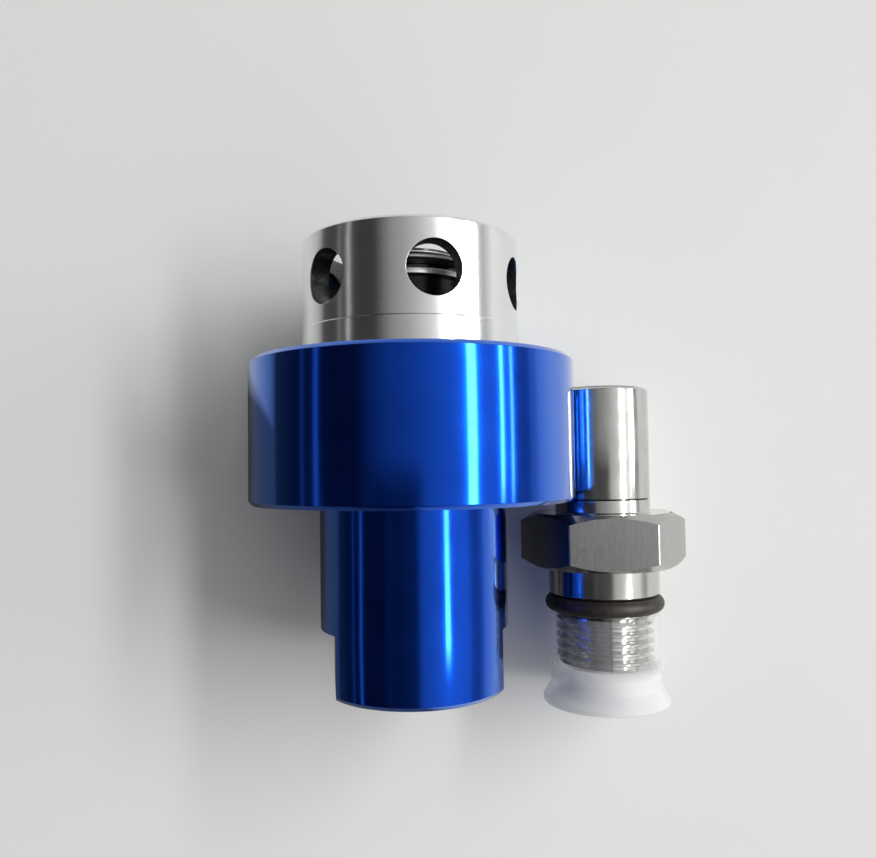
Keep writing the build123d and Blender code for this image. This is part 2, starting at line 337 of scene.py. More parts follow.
def cut(piece, cutters):
    """Takes the cutters, each given as its rings, out of the piece's mesh."""
    bm = bmesh.new()
    for rings in cutters:
        rows = [[bm.verts.new((x * MM, y * MM, z * MM)) for x, y, z in ring] for ring in rings]
        columns = len(rings[0])
        for low, high in zip(rows, rows[1:]):
            for j in range(columns):
                bm.faces.new((low[j], low[(j + 1) % columns], high[(j + 1) % columns], high[j]))
        bm.faces.new(rows[0])
        bm.faces.new(rows[-1])
    bmesh.ops.recalc_face_normals(bm, faces=bm.faces)
    mesh = bpy.data.meshes.new("cutter")
    bm.to_mesh(mesh)
    bm.free()
    tool = bpy.data.objects.new("cutter", mesh)
    bpy.context.scene.collection.objects.link(tool)
    difference = piece.modifiers.new("cut", "BOOLEAN")
    difference.operation = "DIFFERENCE"
    difference.solver = "EXACT"
    difference.object = tool
    bpy.context.view_layer.update()
    result = piece.evaluated_get(bpy.context.evaluated_depsgraph_get())
    whole = bpy.data.meshes.new_from_object(result)
    piece.modifiers.clear()
    piece.data = whole
    bpy.data.objects.remove(tool)
    for polygon in whole.polygons:
        polygon.use_smooth = True
    whole.set_sharp_from_angle(angle=SHARP)


def rod(radius, start, end, circle_radius=0.0, turn=0.0, columns=72):
    """Rings of a cylinder along Y, for a cutter."""
    x = circle_radius * sin(radians(turn))
    z = circle_radius * cos(radians(turn))
    return [circle(radius, y, columns, (x, z)) for y in (start, end)]


def open_slot(width, start, end, circle_radius, outer_radius, turn, columns=36):
    """Rings of a slot along Y with a round bottom, open away from the axis, for a cutter."""
    outline = [(width / 2, outer_radius), (-width / 2, outer_radius)]
    for i in range(columns + 1):
        a = pi + pi * i / columns
        outline.append((width / 2 * cos(a), circle_radius + width / 2 * sin(a)))
    s, c = sin(radians(turn)), cos(radians(turn))
    return [[(u * c + w * s, y, w * c - u * s) for u, w in outline] for y in (start, end)]


def thread_form(phase, crest=0.125, root=0.25):
    """Depth of a thread as a share of its full depth, for a phase that starts at the crest."""
    flank = (1 - crest - root) / 2
    if phase < crest:
        return 0.0
    if phase < crest + flank:
        return (phase - crest) / flank
    if phase < crest + flank + root:
        return 1.0
    return (1 - phase) / flank


def thread_rings(start, end, pitch, hand, steps, turns, radius_at, centre=(0.0, 0.0)):
    """Rings that follow a thread: hand is 1 or -1, and steps are shares of one pitch."""
    rings = []
    for i in range(-1, int((end - start) / pitch) + 3):
        for share in steps:
            ring = []
            for turn in turns:
                lead = hand * pitch * turn / (2 * pi)
                y = min(end, max(start, start + (i + share) * pitch + lead))
                phase = (y - start - lead) / pitch
                r = radius_at(phase - floor(phase), y)
                ring.append((centre[0] + r * sin(turn), y, centre[1] + r * cos(turn)))
            rings.append(ring)
    return rings


# Materials


class NodeTree:
    """Adds nodes to a tree, written as calls that return nodes or sockets."""

    def __init__(self, tree):
        self.tree = tree

    def give(self, target, value):
        """Links the value to the target where it is a socket, and otherwise writes it there."""
        if isinstance(value, bpy.types.NodeSocket):
            self.tree.links.new(value, target)
        elif isinstance(value, tuple) and target.type == "RGBA":
            target.default_value = (*value, 1.0)
        else:
            target.default_value = value

    def node(self, kind, inputs=(), **settings):
        made = self.tree.nodes.new("ShaderNode" + kind)
        for key, value in settings.items():
            setattr(made, key, value)
        for socket, value in dict(inputs).items():
            self.give(made.inputs[socket], value)
        return made

    def math(self, operation, a, b=0.0):
        return self.node("Math", {0: a, 1: b}, operation=operation).outputs[0]

    def spread(self, value, low, high, start=0.3, end=0.7, **settings):
        """The value from start to end, mapped to low to high."""
        inputs = {"Value": value, "From Min": start, "From Max": end, "To Min": low, "To Max": high}
        return self.node("MapRange", inputs, **settings).outputs[0]

    def fade(self, value, start, end, low=0.0, high=1.0):
        """The value from start to end, as a smooth step from low to high."""
        return self.spread(value, low, high, start, end, interpolation_type="SMOOTHSTEP")


class Shader(NodeTree):
    """A material of one Principled surface."""

    def __init__(self, name, **surface):
        self.material = bpy.data.materials.new(name)
        self.material.use_nodes = True
        super().__init__(self.material.node_tree)
        self.surface = self.tree.nodes["Principled BSDF"]
        for socket, value in surface.items():
            self.set(socket.replace("_", " "), value)

    def set(self, socket, value):
        self.give(self.surface.inputs[socket], value)

    def turned_place(self, centre=(0.0, 0.0)):
        """(distance from the axis, station, turn about the axis) of the shaded point."""
        place = self.node("TexCoord").outputs["Object"]
        axis = (centre[0] * MM, 0.0, centre[1] * MM)
        place = self.node("VectorMath", {0: place, 1: axis}, operation="SUBTRACT").outputs[0]
        split = self.node("SeparateXYZ", {0: place})
        x, y, z = split.outputs
        squares = self.math("ADD", self.math("MULTIPLY", x, x), self.math("MULTIPLY", z, z))
        distance = self.math("SQRT", squares)
        turn = self.math("ARCTAN2", x, z)
        return self.node("CombineXYZ", {0: distance, 1: y, 2: turn}).outputs[0]

    def noise(self, place, scale, detail=2.0, roughness=0.5):
        """Noise between 0 and 1; scale is per metre along the axis and radius, and per radian round it."""
        scaled = self.node("VectorMath", {0: place, 1: scale}, operation="MULTIPLY").outputs[0]
        texture = self.node("TexNoise", {"Vector": scaled, "Scale": 1.0, "Detail": detail,
                                         "Roughness": roughness})
        return texture.outputs["Fac"]

    def mix(self, share, a, b):
        """Colour a where the share is 0 and b where it is 1."""
        made = self.tree.nodes.new("ShaderNodeMix")
        made.data_type = "RGBA"
        for index, value in ((0, share), (6, a), (7, b)):
            self.give(made.inputs[index], value)
        return made.outputs[2]

    def bump(self, height, depth, normal=None):
        """Bump of a height between 0 and 1, depth in millimetres."""
        inputs = {"Height": height, "Strength": 1.0, "Distance": depth * MM}
        if normal is not None:
            inputs["Normal"] = normal
        return self.node("Bump", inputs).outputs[0]


def blue_anodised():
    s = Shader("blue_anodised", Metallic=1.0, Coat_Roughness=0.03, Coat_IOR=1.5)
    place = s.turned_place()
    lines = s.noise(place, (5200, 5200, 1.5), 3.0, 0.6)
    ripple = s.noise(place, (900, 900, 5), 2.0)
    stain = s.noise(place, (130, 130, 2.2), 4.0, 0.6)
    facing = s.node("LayerWeight", {"Blend": 0.5}).outputs["Facing"]
    deep = s.mix(s.spread(stain, 0.0, 1.0), (0.0012, 0.062, 0.55), (0.002, 0.075, 0.62))
    s.set("Base Color", s.mix(s.spread(facing, 0.0, 1.0, 0.31, 0.5), deep, (0.035, 0.18, 0.78)))
    s.set("Coat Weight", s.spread(facing, 0.2, 0.7, 0.32, 0.46))
    s.set("Roughness", s.spread(stain, 0.1, 0.13))
    normal = s.bump(lines, 0.0007)
    s.set("Normal", s.bump(ripple, 0.001, normal))
    return s.material


def machined_aluminium():
    s = Shader("machined_aluminium", Metallic=1.0, Anisotropic=0.7, Anisotropic_Rotation=0.25)
    place = s.turned_place()
    lines = s.noise(place, (6500, 6500, 2.0), 4.0, 0.65)
    grain = s.noise(place, (2600, 2600, 180.0), 3.0, 0.7)
    stain = s.noise(place, (180, 180, 3.0), 3.0)
    s.set("Base Color", s.mix(s.spread(stain, 0.0, 1.0), (0.82, 0.84, 0.825), (0.88, 0.895, 0.88)))
    s.set("Roughness", s.spread(grain, 0.17, 0.23))
    s.set("Tangent", s.node("Tangent", direction_type="RADIAL", axis="Y").outputs[0])
    normal = s.bump(lines, 0.0018)
    s.set("Normal", s.bump(grain, 0.0015, normal))
    return s.material


def bore_painted_shade():
    """Painted shade: the cage's bore and the walls of its holes, made dark and dull to stand in for the
    shade inside the cage.
    """
    s = Shader("bore_painted_shade", Metallic=1.0)
    place = s.node("TexCoord").outputs["Object"]
    grain = s.noise(place, (2400, 2400, 2400), 4.0, 0.7)
    s.set("Base Color", s.mix(s.spread(grain, 0.0, 1.0), (0.04, 0.042, 0.042), (0.13, 0.135, 0.13)))
    s.set("Roughness", s.spread(grain, 0.28, 0.45))
    s.set("Normal", s.bump(grain, 0.006))
    return s.material


def dark_steel_and_groove_shade():
    """Very dark steel on the carrier's neck below its collar, and painted shade in the line turned into
    the rotor's tube.
    """
    s = Shader("dark_steel_and_groove_shade", Metallic=0.6)
    place = s.turned_place()
    lines = s.noise(place, (3600, 3600, 2.0), 3.0, 0.6)
    s.set("Base Color", s.mix(s.spread(lines, 0.0, 1.0), (0.01, 0.011, 0.012), (0.026, 0.027, 0.027)))
    s.set("Roughness", s.spread(lines, 0.24, 0.34))
    s.set("Normal", s.bump(lines, 0.003))
    return s.material


def polished_stainless():
    s = Shader("polished_stainless", Metallic=1.0)
    place = s.turned_place()
    lines = s.noise(place, (7000, 7000, 1.5), 3.0, 0.6)
    stain = s.noise(place, (240, 240, 3.0), 3.0)
    s.set("Base Color", s.mix(s.spread(stain, 0.0, 1.0), (0.6, 0.6, 0.58), (0.68, 0.68, 0.66)))
    s.set("Roughness", s.spread(stain, 0.09, 0.16))
    s.set("Normal", s.bump(lines, 0.0009))
    return s.material


def turned_stainless():
    s = Shader("turned_stainless", Metallic=1.0)
    place = s.turned_place(rotor_axis)
    lines = s.noise(place, (5600, 5600, 1.2), 4.0, 0.6)
    stain = s.noise(place, (260, 260, 4.0), 3.0)
    s.set("Base Color", s.mix(s.spread(stain, 0.0, 1.0), (0.58, 0.585, 0.56), (0.66, 0.665, 0.64)))
    s.set("Roughness", s.spread(stain, 0.1, 0.17))
    s.set("Normal", s.bump(lines, 0.0012))
    return s.material


def milled_stainless():
    """The hexagon bar's drawn flats, with fine lines along the axis."""
    s = Shader("milled_stainless", Metallic=1.0)
    place = s.node("TexCoord").outputs["Object"]
    lines = s.noise(place, (6500, 260, 6500), 3.0, 0.6)
    grain = s.noise(place, (2200, 1500, 2200), 3.0, 0.6)
    s.set("Base Color", s.mix(s.spread(lines, 0.0, 1.0), (0.44, 0.445, 0.43), (0.52, 0.525, 0.505)))
    s.set("Roughness", s.spread(grain, 0.2, 0.27))
    normal = s.bump(lines, 0.002)
    s.set("Normal", s.bump(grain, 0.0008, normal))
    return s.material


def painted_highlight_metal():
    """Painted highlight: metal lighter and duller than the carrier's, on the narrow turned lands on the
    carrier's head, which catch the light through the vent holes.
    """
    s = Shader("painted_highlight_metal", Metallic=1.0)
    place = s.turned_place()
    lines = s.noise(place, (4000, 4000, 2.0), 3.0, 0.6)
    s.set("Base Color", s.mix(s.spread(lines, 0.0, 1.0), (0.9, 0.905, 0.9), (0.97, 0.975, 0.97)))
    s.set("Roughness", s.spread(lines, 0.42, 0.5))
    s.set("Normal", s.bump(lines, 0.001))
    return s.material


def dark_band():
    s = Shader("dark_band", Metallic=1.0)
    place = s.turned_place()
    grooves = s.noise(place, (3200, 3200, 0.0), 2.0, 0.5)
    s.set("Base Color", s.mix(s.spread(grooves, 0.0, 1.0), (0.035, 0.036, 0.035), (0.13, 0.135, 0.13)))
    s.set("Roughness", s.spread(grooves, 0.18, 0.3))
    s.set("Normal", s.bump(grooves, 0.012))
    return s.material


def spring_steel():
    s = Shader("spring_steel", Metallic=1.0)
    place = s.node("TexCoord").outputs["Object"]
    grain = s.noise(place, (2500, 2500, 2500), 3.0)
    s.set("Base Color", s.mix(s.spread(grain, 0.0, 1.0), (0.42, 0.42, 0.41), (0.55, 0.55, 0.54)))
    s.set("Roughness", s.spread(grain, 0.16, 0.28))
    s.set("Normal", s.bump(grain, 0.0015))
    return s.material


def seal_carbide():
    s = Shader("seal_carbide", Specular_IOR_Level=0.9)
    place = s.node("TexCoord").outputs["Object"]
    grain = s.noise(place, (6000, 6000, 6000), 4.0, 0.7)
    s.set("Base Color", s.mix(s.spread(grain, 0.0, 1.0), (0.008, 0.008, 0.009), (0.022, 0.022, 0.024)))
    s.set("Roughness", s.spread(grain, 0.16, 0.26))
    s.set("Normal", s.bump(grain, 0.001))
    return s.material


def o_ring_rubber():
    s = Shader("o_ring_rubber", Specular_IOR_Level=0.5)
    place = s.node("TexCoord").outputs["Object"]
    grain = s.noise(place, (2600, 2600, 2600), 4.0, 0.7)
    dust = s.noise(place, (500, 500, 500), 5.0, 0.7)
    dusty = s.spread(dust, 0.0, 1.0, 0.45, 0.75)
    s.set("Base Color", s.mix(dusty, (0.018, 0.011, 0.009), (0.045, 0.034, 0.03)))
    s.set("Roughness", s.spread(grain, 0.4, 0.55))
    s.set("Normal", s.bump(grain, 0.006))
    return s.material


def bearing_plastic():
    s = Shader("bearing_plastic")
    place = s.node("TexCoord").outputs["Object"]
    grain = s.noise(place, (1500, 1500, 1500), 4.0)
    s.set("Base Color", s.mix(s.spread(grain, 0.0, 1.0), (0.5, 0.46, 0.36), (0.6, 0.56, 0.46)))
    s.set("Roughness", s.spread(grain, 0.4, 0.55))
    s.set("Normal", s.bump(grain, 0.003))
    return s.material


def milky_plastic():
    """Milky where it stands free, and clearer where it lies on the thread."""
    s = Shader("milky_plastic", Specular_IOR_Level=0.4)
    place = s.turned_place(rotor_axis)
    cloud = s.noise(place, (220, 220, 2.0), 3.0)
    station = s.node("SeparateXYZ", {0: place}).outputs[1]
    s.set("Alpha", s.spread(station, 0.5, 0.08, (thread_end - 1.2) * MM, (thread_end + 0.8) * MM))
    s.set("Base Color", s.mix(s.spread(cloud, 0.0, 1.0), (0.84, 0.845, 0.845), (0.9, 0.902, 0.9)))
    s.set("Roughness", s.spread(cloud, 0.35, 0.5))
    s.set("Normal", s.bump(cloud, 0.02))
    return s.material


def floor_paint():
    """Pale paint, darker to the left as painted shade for light falling off from the right; the gloss of
    the object sees the floor far to its sides and beside the nose painted dark, as painted shade in
    reflections.
    """
    s = Shader("floor_paint", Specular_IOR_Level=0.2, Roughness=0.7)
    place = s.node("TexCoord").outputs["Object"]
    cloud = s.noise(place, (14, 14, 14), 4.0, 0.6)
    grain = s.noise(place, (1600, 1600, 1600), 3.0)
    across, along = s.node("SeparateXYZ", {0: place}).outputs[:2]
    # Painted shade: the floor darkens towards the left, as if the light fell off from the right.
    far = s.spread(across, 1.0, 0.0, -0.1, 0.1)
    pale = s.mix(s.spread(cloud, 0.0, 1.0), (0.83, 0.833, 0.822), (0.85, 0.853, 0.84))
    pale = s.mix(far, pale, (0.745, 0.75, 0.737))
    # Painted shade seen only by glossy rays: the floor far to the left and right and beside the nose is
    # painted dark in reflections.
    left = s.spread(across, 1.0, 0.0, -0.3, -0.04)
    right = s.spread(across, 0.0, 0.4, 0.24, 0.4)
    beside = s.spread(across, 0.85, 0.0, 0.014, 0.024)
    near = s.math("MULTIPLY", beside, s.spread(along, 1.0, 0.0, -0.002, 0.004))
    sides = s.math("MAXIMUM", s.math("ADD", left, right), near)
    painted_reflection_shade = s.math("MULTIPLY", sides, s.node("LightPath").outputs["Is Glossy Ray"])
    s.set("Base Color", s.mix(painted_reflection_shade, pale, (0.05, 0.05, 0.05)))
    s.set("Normal", s.bump(grain, 0.01))
    return s.material


materials = {
    "blue_anodised": blue_anodised(),
    "machined_aluminium": machined_aluminium(),
    "bore_painted_shade": bore_painted_shade(),
    "dark_steel_and_groove_shade": dark_steel_and_groove_shade(),
    "polished_stainless": polished_stainless(),
    "turned_stainless": turned_stainless(),
    "milled_stainless": milled_stainless(),
    "painted_highlight_metal": painted_highlight_metal(),
    "dark_band": dark_band(),
    "spring_steel": spring_steel(),
    "seal_carbide": seal_carbide(),
    "o_ring_rubber": o_ring_rubber(),
    "bearing_plastic": bearing_plastic(),
    "milky_plastic": milky_plastic(),
}


# Housing


def nose_columns(edge):
    """Turns of the nose's columns and whether each lies on a wrench flat; edge is the flat's half turn."""
    columns = []
    for side in (0, pi):
        normal = radians(wrench_flat_turn) + side
        for i in range(FLAT_COLUMNS):
            columns.append((normal - edge + 2 * edge * i / FLAT_COLUMNS, normal))
        for i in range(ROUND_COLUMNS):
            columns.append((normal + edge + (pi - 2 * edge) * i / ROUND_COLUMNS, None))
    return columns


full_edge = acos(wrench_flat_distance / nose_radius)


def nose_ring(r, y, flats=False):
    """A ring of the housing, with the wrench flats taken off if asked."""
    edge = acos(wrench_flat_distance / r) if flats else full_edge
    ring = []
    for turn, normal in nose_columns(edge):
        reach = r
        if flats and normal is not None:
            reach = wrench_flat_distance / cos(turn - normal)
        ring.append((reach * sin(turn), y, reach * cos(turn)))
    return ring


def port_thread():
    """Rings of the supply port's thread, from its lead-in to its floor."""
    start = nose_end + port_lead_in
    end = nose_end + port_length - port_pitch

    def radius_at(phase, y):
        fade = min(1.0, (end - y) / port_pitch)
        return port_radius + port_thread_depth * max(0.0, fade) * thread_form(phase, 0.2, 0.2)

    turns = [turn % (2 * pi) for turn, _ in nose_columns(full_edge)]
    return thread_rings(start, end, port_pitch, 1, PORT_THREAD_STEPS, turns, radius_at)


def housing_body():
    """Flange, nose and everything bored into them."""
    flange_back = -flange_length
    flats_end = nose_end + wrench_flat_length
    tip = rounded([
        (port_radius + port_lead_in, nose_end, 0.0),
        (nose_radius - nose_edge, nose_end, 0.12),
        (nose_radius, nose_end + nose_edge, 0.12),
        (nose_radius, flats_end, 0.0),
    ])
    rings = [nose_ring(*tip[0])]
    rings += [nose_ring(r, y, True) for r, y in tip[1:]]
    outside = rounded([
        (nose_radius, flats_end, 0.0),
        (nose_radius, flange_back, nose_root_radius),
        (flange_radius - flange_edge, flange_back, 0.1),
        (flange_radius, flange_back + flange_edge, 0.1),
        (flange_radius, -flange_edge, 0.1),
        (flange_radius - flange_edge, mounting_face, 0.1),
        (cage_seat_radius, mounting_face, 0.04),
        (cage_seat_radius, -cage_seat_depth, 0.0),
        (register_radius, -cage_seat_depth, 0.05),
        (register_radius, -register_depth, 0.0),
        (chamber_radius, -register_depth, 0.1),
        (chamber_radius, -chamber_depth, 0.1),
        (gland_radius, -chamber_depth, 0.05),
        (gland_radius, gland_end, 0.0),
        (bush_radius, gland_end, 0.05),
        (bush_radius, bush_end, 0.0),
        (tail_room_radius, bush_end, 0.05),
        (tail_room_radius, tail_room_end, 0.1),
        (flow_radius, tail_room_end, 0.1),
        (flow_radius, nose_end + port_length, 0.1),
        (port_radius, nose_end + port_length, 0.1),
        (port_radius, nose_end + port_length - port_pitch, 0.0),
    ])
    rings += [nose_ring(r, y) for r, y in outside]
    rings += list(reversed(port_thread()))
    rings += [nose_ring(port_radius, nose_end + port_lead_in), nose_ring(*tip[0])]
    piece = solid("housing", [rings], "housing", materials["blue_anodised"],
                  ["housing_body"])
    turns = [mount_hole_turn + 360 / mount_hole_count * i for i in range(mount_hole_count)]
    cut(piece, [rod(mount_hole_radius, flange_back - 1, 1, mount_hole_circle, t) for t in turns])
    return piece


# Vent cage


def rectangle(half_width, half_height, columns, rows):
    """Points round a rectangle, from its lower right corner."""
    side = [(half_width, half_height * (2 * i / rows - 1)) for i in range(rows)]
    top = [(half_width * (1 - 2 * i / columns), half_height) for i in range(columns)]
    return side + top + [(-a, -b) for a, b in side + top]


def vent_sector(turn):
    """Sheets of one sixth of the cage's wall with its vent hole: outside, inside and the hole's wall."""
    columns, rows, rings = ROUND // vent_count, 32, 14
    frame_points = rectangle(pi / vent_count, vent_margin, columns, rows)
    headings = [atan2(b, a * cage_radius) for a, b in frame_points]
    sheets = []
    for radius in (cage_radius, cage_bore):
        sheet = []
        for i in range(rings + 1):
            share = (i / rings) ** 1.5
            ring = []
            for (a, b), heading in zip(frame_points, headings):
                reach = vent_radius + vent_edge
                angle = turn + (1 - share) * asin(reach * cos(heading) / radius) + share * a
                rise = (1 - share) * reach * sin(heading) + share * b
                ring.append((radius * sin(angle), vent_station + rise, radius * cos(angle)))
            sheet.append(ring)
        sheets.append(sheet)
    wall = []
    steps = 4
    for radius, side in ((cage_radius, 1), (cage_bore, -1)):
        edge = []
        for i in range(steps + 1):
            bend = pi / 2 * i / steps
            reach = vent_radius + vent_edge * (1 - sin(bend))
            ring = []
            for heading in headings:
                u, v = reach * cos(heading), reach * sin(heading)
                w = sqrt(radius ** 2 - u ** 2) - side * vent_edge * (1 - cos(bend))
                ring.append((w * sin(turn) + u * cos(turn), vent_station + v,
                             w * cos(turn) - u * sin(turn)))
            edge.append(ring)
        wall += edge if side == 1 else edge[::-1]
    sheets.append(wall)
    return sheets


def vent_cage():
    """The cage with its foot, its vent holes and its mouth."""
    low, high = vent_station - vent_margin, vent_station + vent_margin
    start = radians(vent_turn) - pi / vent_count
    foot = rounded([
        (cage_radius, low, 0.0),
        (cage_radius, band_length, 0.0),
        (band_radius - band_edge_depth, band_length, 0.0),
        (band_radius, band_length - band_edge_length, 0.0),
        (band_radius, mounting_face, 0.0),
        (cage_radius, mounting_face, 0.0),
        (cage_radius, -cage_seat_depth, 0.0),
        (register_radius - register_gap, -cage_seat_depth, 0.0),
        (register_radius - register_gap, seal_groove_end, 0.05),
        (seal_groove_radius, seal_groove_end, 0.0),
        (seal_groove_radius, seal_groove_start, 0.0),
        (register_radius - register_gap, seal_groove_start, 0.05),
        (register_radius - register_gap, cage_foot, 0.1),
        (guide_bore, cage_foot, 0.1),
        (guide_bore, ring_groove_start, 0.05),
        (ring_groove_radius, ring_groove_start, 0.0),
        (ring_groove_radius, ring_groove_end, 0.0),
        (cage_bore, ring_groove_end, 0.04),
        (cage_bore, low, 0.0),
    ])
    mouth = rounded([
        (cage_radius, high, 0.0),
        (cage_radius, cage_front - mouth_chamfer / 2, 0.08),
        (cage_radius - mouth_chamfer / 2, cage_front, 0.08),
        (cage_bore + mouth_chamfer, cage_front, 0.08),
        (cage_bore, cage_front - mouth_chamfer, 0.08),
        (cage_bore, high, 0.0),
    ])
    sheets = [lathe(foot, start=start), lathe(mouth, start=start)]
    for i in range(vent_count):
        sheets += vent_sector(radians(vent_turn) + 2 * pi * i / vent_count)
    piece = solid("cage", sheets, "housing", materials["machined_aluminium"],
                  ["vent_cage"])
    skin = cage_radius - vent_edge - 0.05

    def inside(radius, station):
        return station < cage_front - mouth_chamfer and radius < skin

    # The bore and the walls of the vent holes get painted shade.
    add_finish(piece, materials["bore_painted_shade"], inside)
    return piece


# Seal carrier


def seal_carrier():
    """The floating carrier, with its spring pockets and the slots for the pins."""
    outline = rounded([
        (carrier_bore, carrier_tail_end, 0.1),
        (tail_radius, carrier_tail_end, 0.3),
        (tail_radius, carrier_flange_start, 0.0),
        (carrier_flange_radius, carrier_flange_start, 0.1),
        (carrier_flange_radius, carrier_flange_end, 0.15),
        (neck_radius, carrier_flange_end, 0.4),
        (neck_radius, collar_start, 0.15),
        (collar_radius, collar_start, 0.08),
        (collar_radius, collar_end, 0.08),
        (cup_outer_radius, collar_end, 0.0),
        (cup_outer_radius, cup_front, 0.05),
        (cup_radius, cup_front, 0.05),
        (cup_radius, cup_floor, 0.0),
        (carrier_bore, cup_floor, 0.05),
    ])
    piece = solid("carrier", [lathe(closed(outline))], "carrier",
                  materials["polished_stainless"], ["seal_carrier"])
    cutters = []
    for i in range(station_count):
        turn = station_turn + 360 / station_count * i
        if i % (station_count // 2):
            cutters.append(rod(spring_pocket_radius, carrier_flange_start - 1,
                               carrier_flange_start + spring_pocket_depth, spring_circle, turn, 48))
        else:
            cutters.append(open_slot(pin_slot_width, carrier_flange_start - 1, carrier_flange_end + 1,
                                     pin_circle, carrier_flange_radius + 1, turn))
    cut(piece, cutters)

    def neck(radius, station):
        inner, outer = carrier_bore + 0.5, neck_radius + 0.6
        return inner < radius < outer and carrier_flange_end < station < collar_start

    def collar(radius, station):
        return radius > collar_radius - collar_edge and collar_start < station < collar_end

    # The neck is made very dark.
    add_finish(piece, materials["dark_steel_and_groove_shade"], neck)
    # The collar gets a painted highlight.
    add_finish(piece, materials["painted_highlight_metal"], collar)
    return piece


def seal_ring_band():
    """Band round the carrier's head, with fine grooves turned into it and a painted highlight on the land
    at its front.
    """
    land_start = band_front - band_plain_front
    land_end = band_front - band_front_chamfer
    corners = [
        (head_band_bore, band_start, 0.0),
        (collar_radius - band_back_depth, band_start, 0.04),
        (collar_radius, band_start + band_back_length, 0.04),
    ]
    station = band_start + band_plain_back
    while station + band_groove_width < land_start:
        corners += [
            (collar_radius, station, 0.0),
            (collar_radius - band_groove_depth, station + band_groove_width / 2, 0.0),
            (collar_radius, station + band_groove_width, 0.0),
        ]
        station += band_groove_width + band_groove_land
    corners += [
        (collar_radius, land_start, 0.0),
        (collar_radius, land_end, 0.0),
        (collar_radius - band_front_chamfer, band_front, 0.03),
        (head_band_bore, band_front, 0.0),
    ]
    piece = solid("seal_band", [lathe(closed(rounded(corners)))], "carrier",
                  materials["dark_band"], ["seal_ring_band"])

    def front_land(radius, station):
        return radius > collar_radius - collar_edge / 2 and land_start < station < land_end

    # The front land gets a painted highlight.
    add_finish(piece, materials["painted_highlight_metal"], front_land)
    return piece


def stator_seal():
    """The seal ring in the carrier's head, with a narrower nose and a painted highlight as a line on its
    shoulder.
    """
    shoulder = seal_tip - seal_nose_length
    nose = stator_seal_radius - seal_nose_step
    outline = rounded([
        (stator_seal_bore, cup_floor, 0.1),
        (stator_seal_radius, cup_floor, 0.1),
        (stator_seal_radius, shoulder - seal_shoulder_line, 0.0),
        (stator_seal_radius, shoulder - seal_shoulder_edge, 0.0),
        (stator_seal_radius - seal_shoulder_depth, shoulder, 0.0),
        (nose, shoulder, 0.0),
        (nose, seal_tip - seal_nose_edge, 0.02),
        (nose - seal_nose_edge, seal_tip, 0.02),
        (stator_seal_bore, seal_tip, 0.1),
    ])
    piece = solid("stator_seal", [lathe(closed(outline))], "carrier",
                  materials["seal_carbide"], ["stator_seal_ring"])

    def shoulder_line(radius, station):
        inner = stator_seal_radius - seal_shoulder_depth
        return radius > inner and shoulder - seal_shoulder_line < station < shoulder

    # The shoulder line gets a painted highlight.
    add_finish(piece, materials["painted_highlight_metal"], shoulder_line)
    return piece


def rotor_seal():
    """The seal ring let into the end of the rotor's tube."""
    start, end = span("rotor_seal_ring", Y)
    outline = rounded([
        (rotor_seal_bore, start, 0.1),
        (rotor_seal_radius, start, 0.1),
        (rotor_seal_radius, end - rotor_seal_edge, 0.0),
        (rotor_seal_radius - rotor_seal_edge, end, 0.0),
        (rotor_seal_bore, end, 0.1),
    ])
    return solid("rotor_seal", [lathe(closed(outline), rotor_axis)], "rotor",
                 materials["seal_carbide"], ["rotor_seal_ring"])


# Rotor


def rotor_columns(edge):
    """The rotor's columns as (middle of a flat, turn from there); edge is the flat's half turn."""
    corner = 2 * (pi / 6 - edge)
    columns = []
    for side in range(6):
        normal = side * pi / 3
        for i in range(HEX_FLAT_COLUMNS):
            columns.append((normal, -edge + 2 * edge * i / HEX_FLAT_COLUMNS))
        for i in range(HEX_CORNER_COLUMNS):
            columns.append((normal, edge + corner * i / HEX_CORNER_COLUMNS))
    return columns


def hex_ring(limit, y):
    """A ring of the hexagon whose corners are turned off at the limit radius."""
    edge = acos(hex_half_width / limit) if limit > hex_half_width else 0.0
    ring = []
    for normal, turn in rotor_columns(edge):
        reach = min(limit, hex_half_width / cos(turn))
        ring.append((rotor_x + reach * sin(normal + turn), y, rotor_z + reach * cos(normal + turn)))
    return ring


def rotor_ring(r, y):
    """A round ring of the rotor with its columns in line with the hexagon's."""
    turns = [normal + turn for normal, turn in rotor_columns(pi / 8)]
    return [(rotor_x + r * sin(t), y, rotor_z + r * cos(t)) for t in turns]


def rotor_thread():
    """Rings of the male thread, from its end to its run-out."""
    start, end = thread_end, thread_end + rotor_thread_length

    def radius_at(phase, y):
        runout = min(1.0, max(0.0, (end - y) / thread_runout))
        r = thread_radius - thread_depth * runout * thread_form(phase)
        return min(r, thread_radius - thread_chamfer + (y - start))

    turns = [atan2(x - rotor_x, z - rotor_z) % (2 * pi) for x, _, z in rotor_ring(1.0, 0.0)]
    return thread_rings(start, end, thread_pitch, -1, THREAD_STEPS, turns, radius_at, rotor_axis)


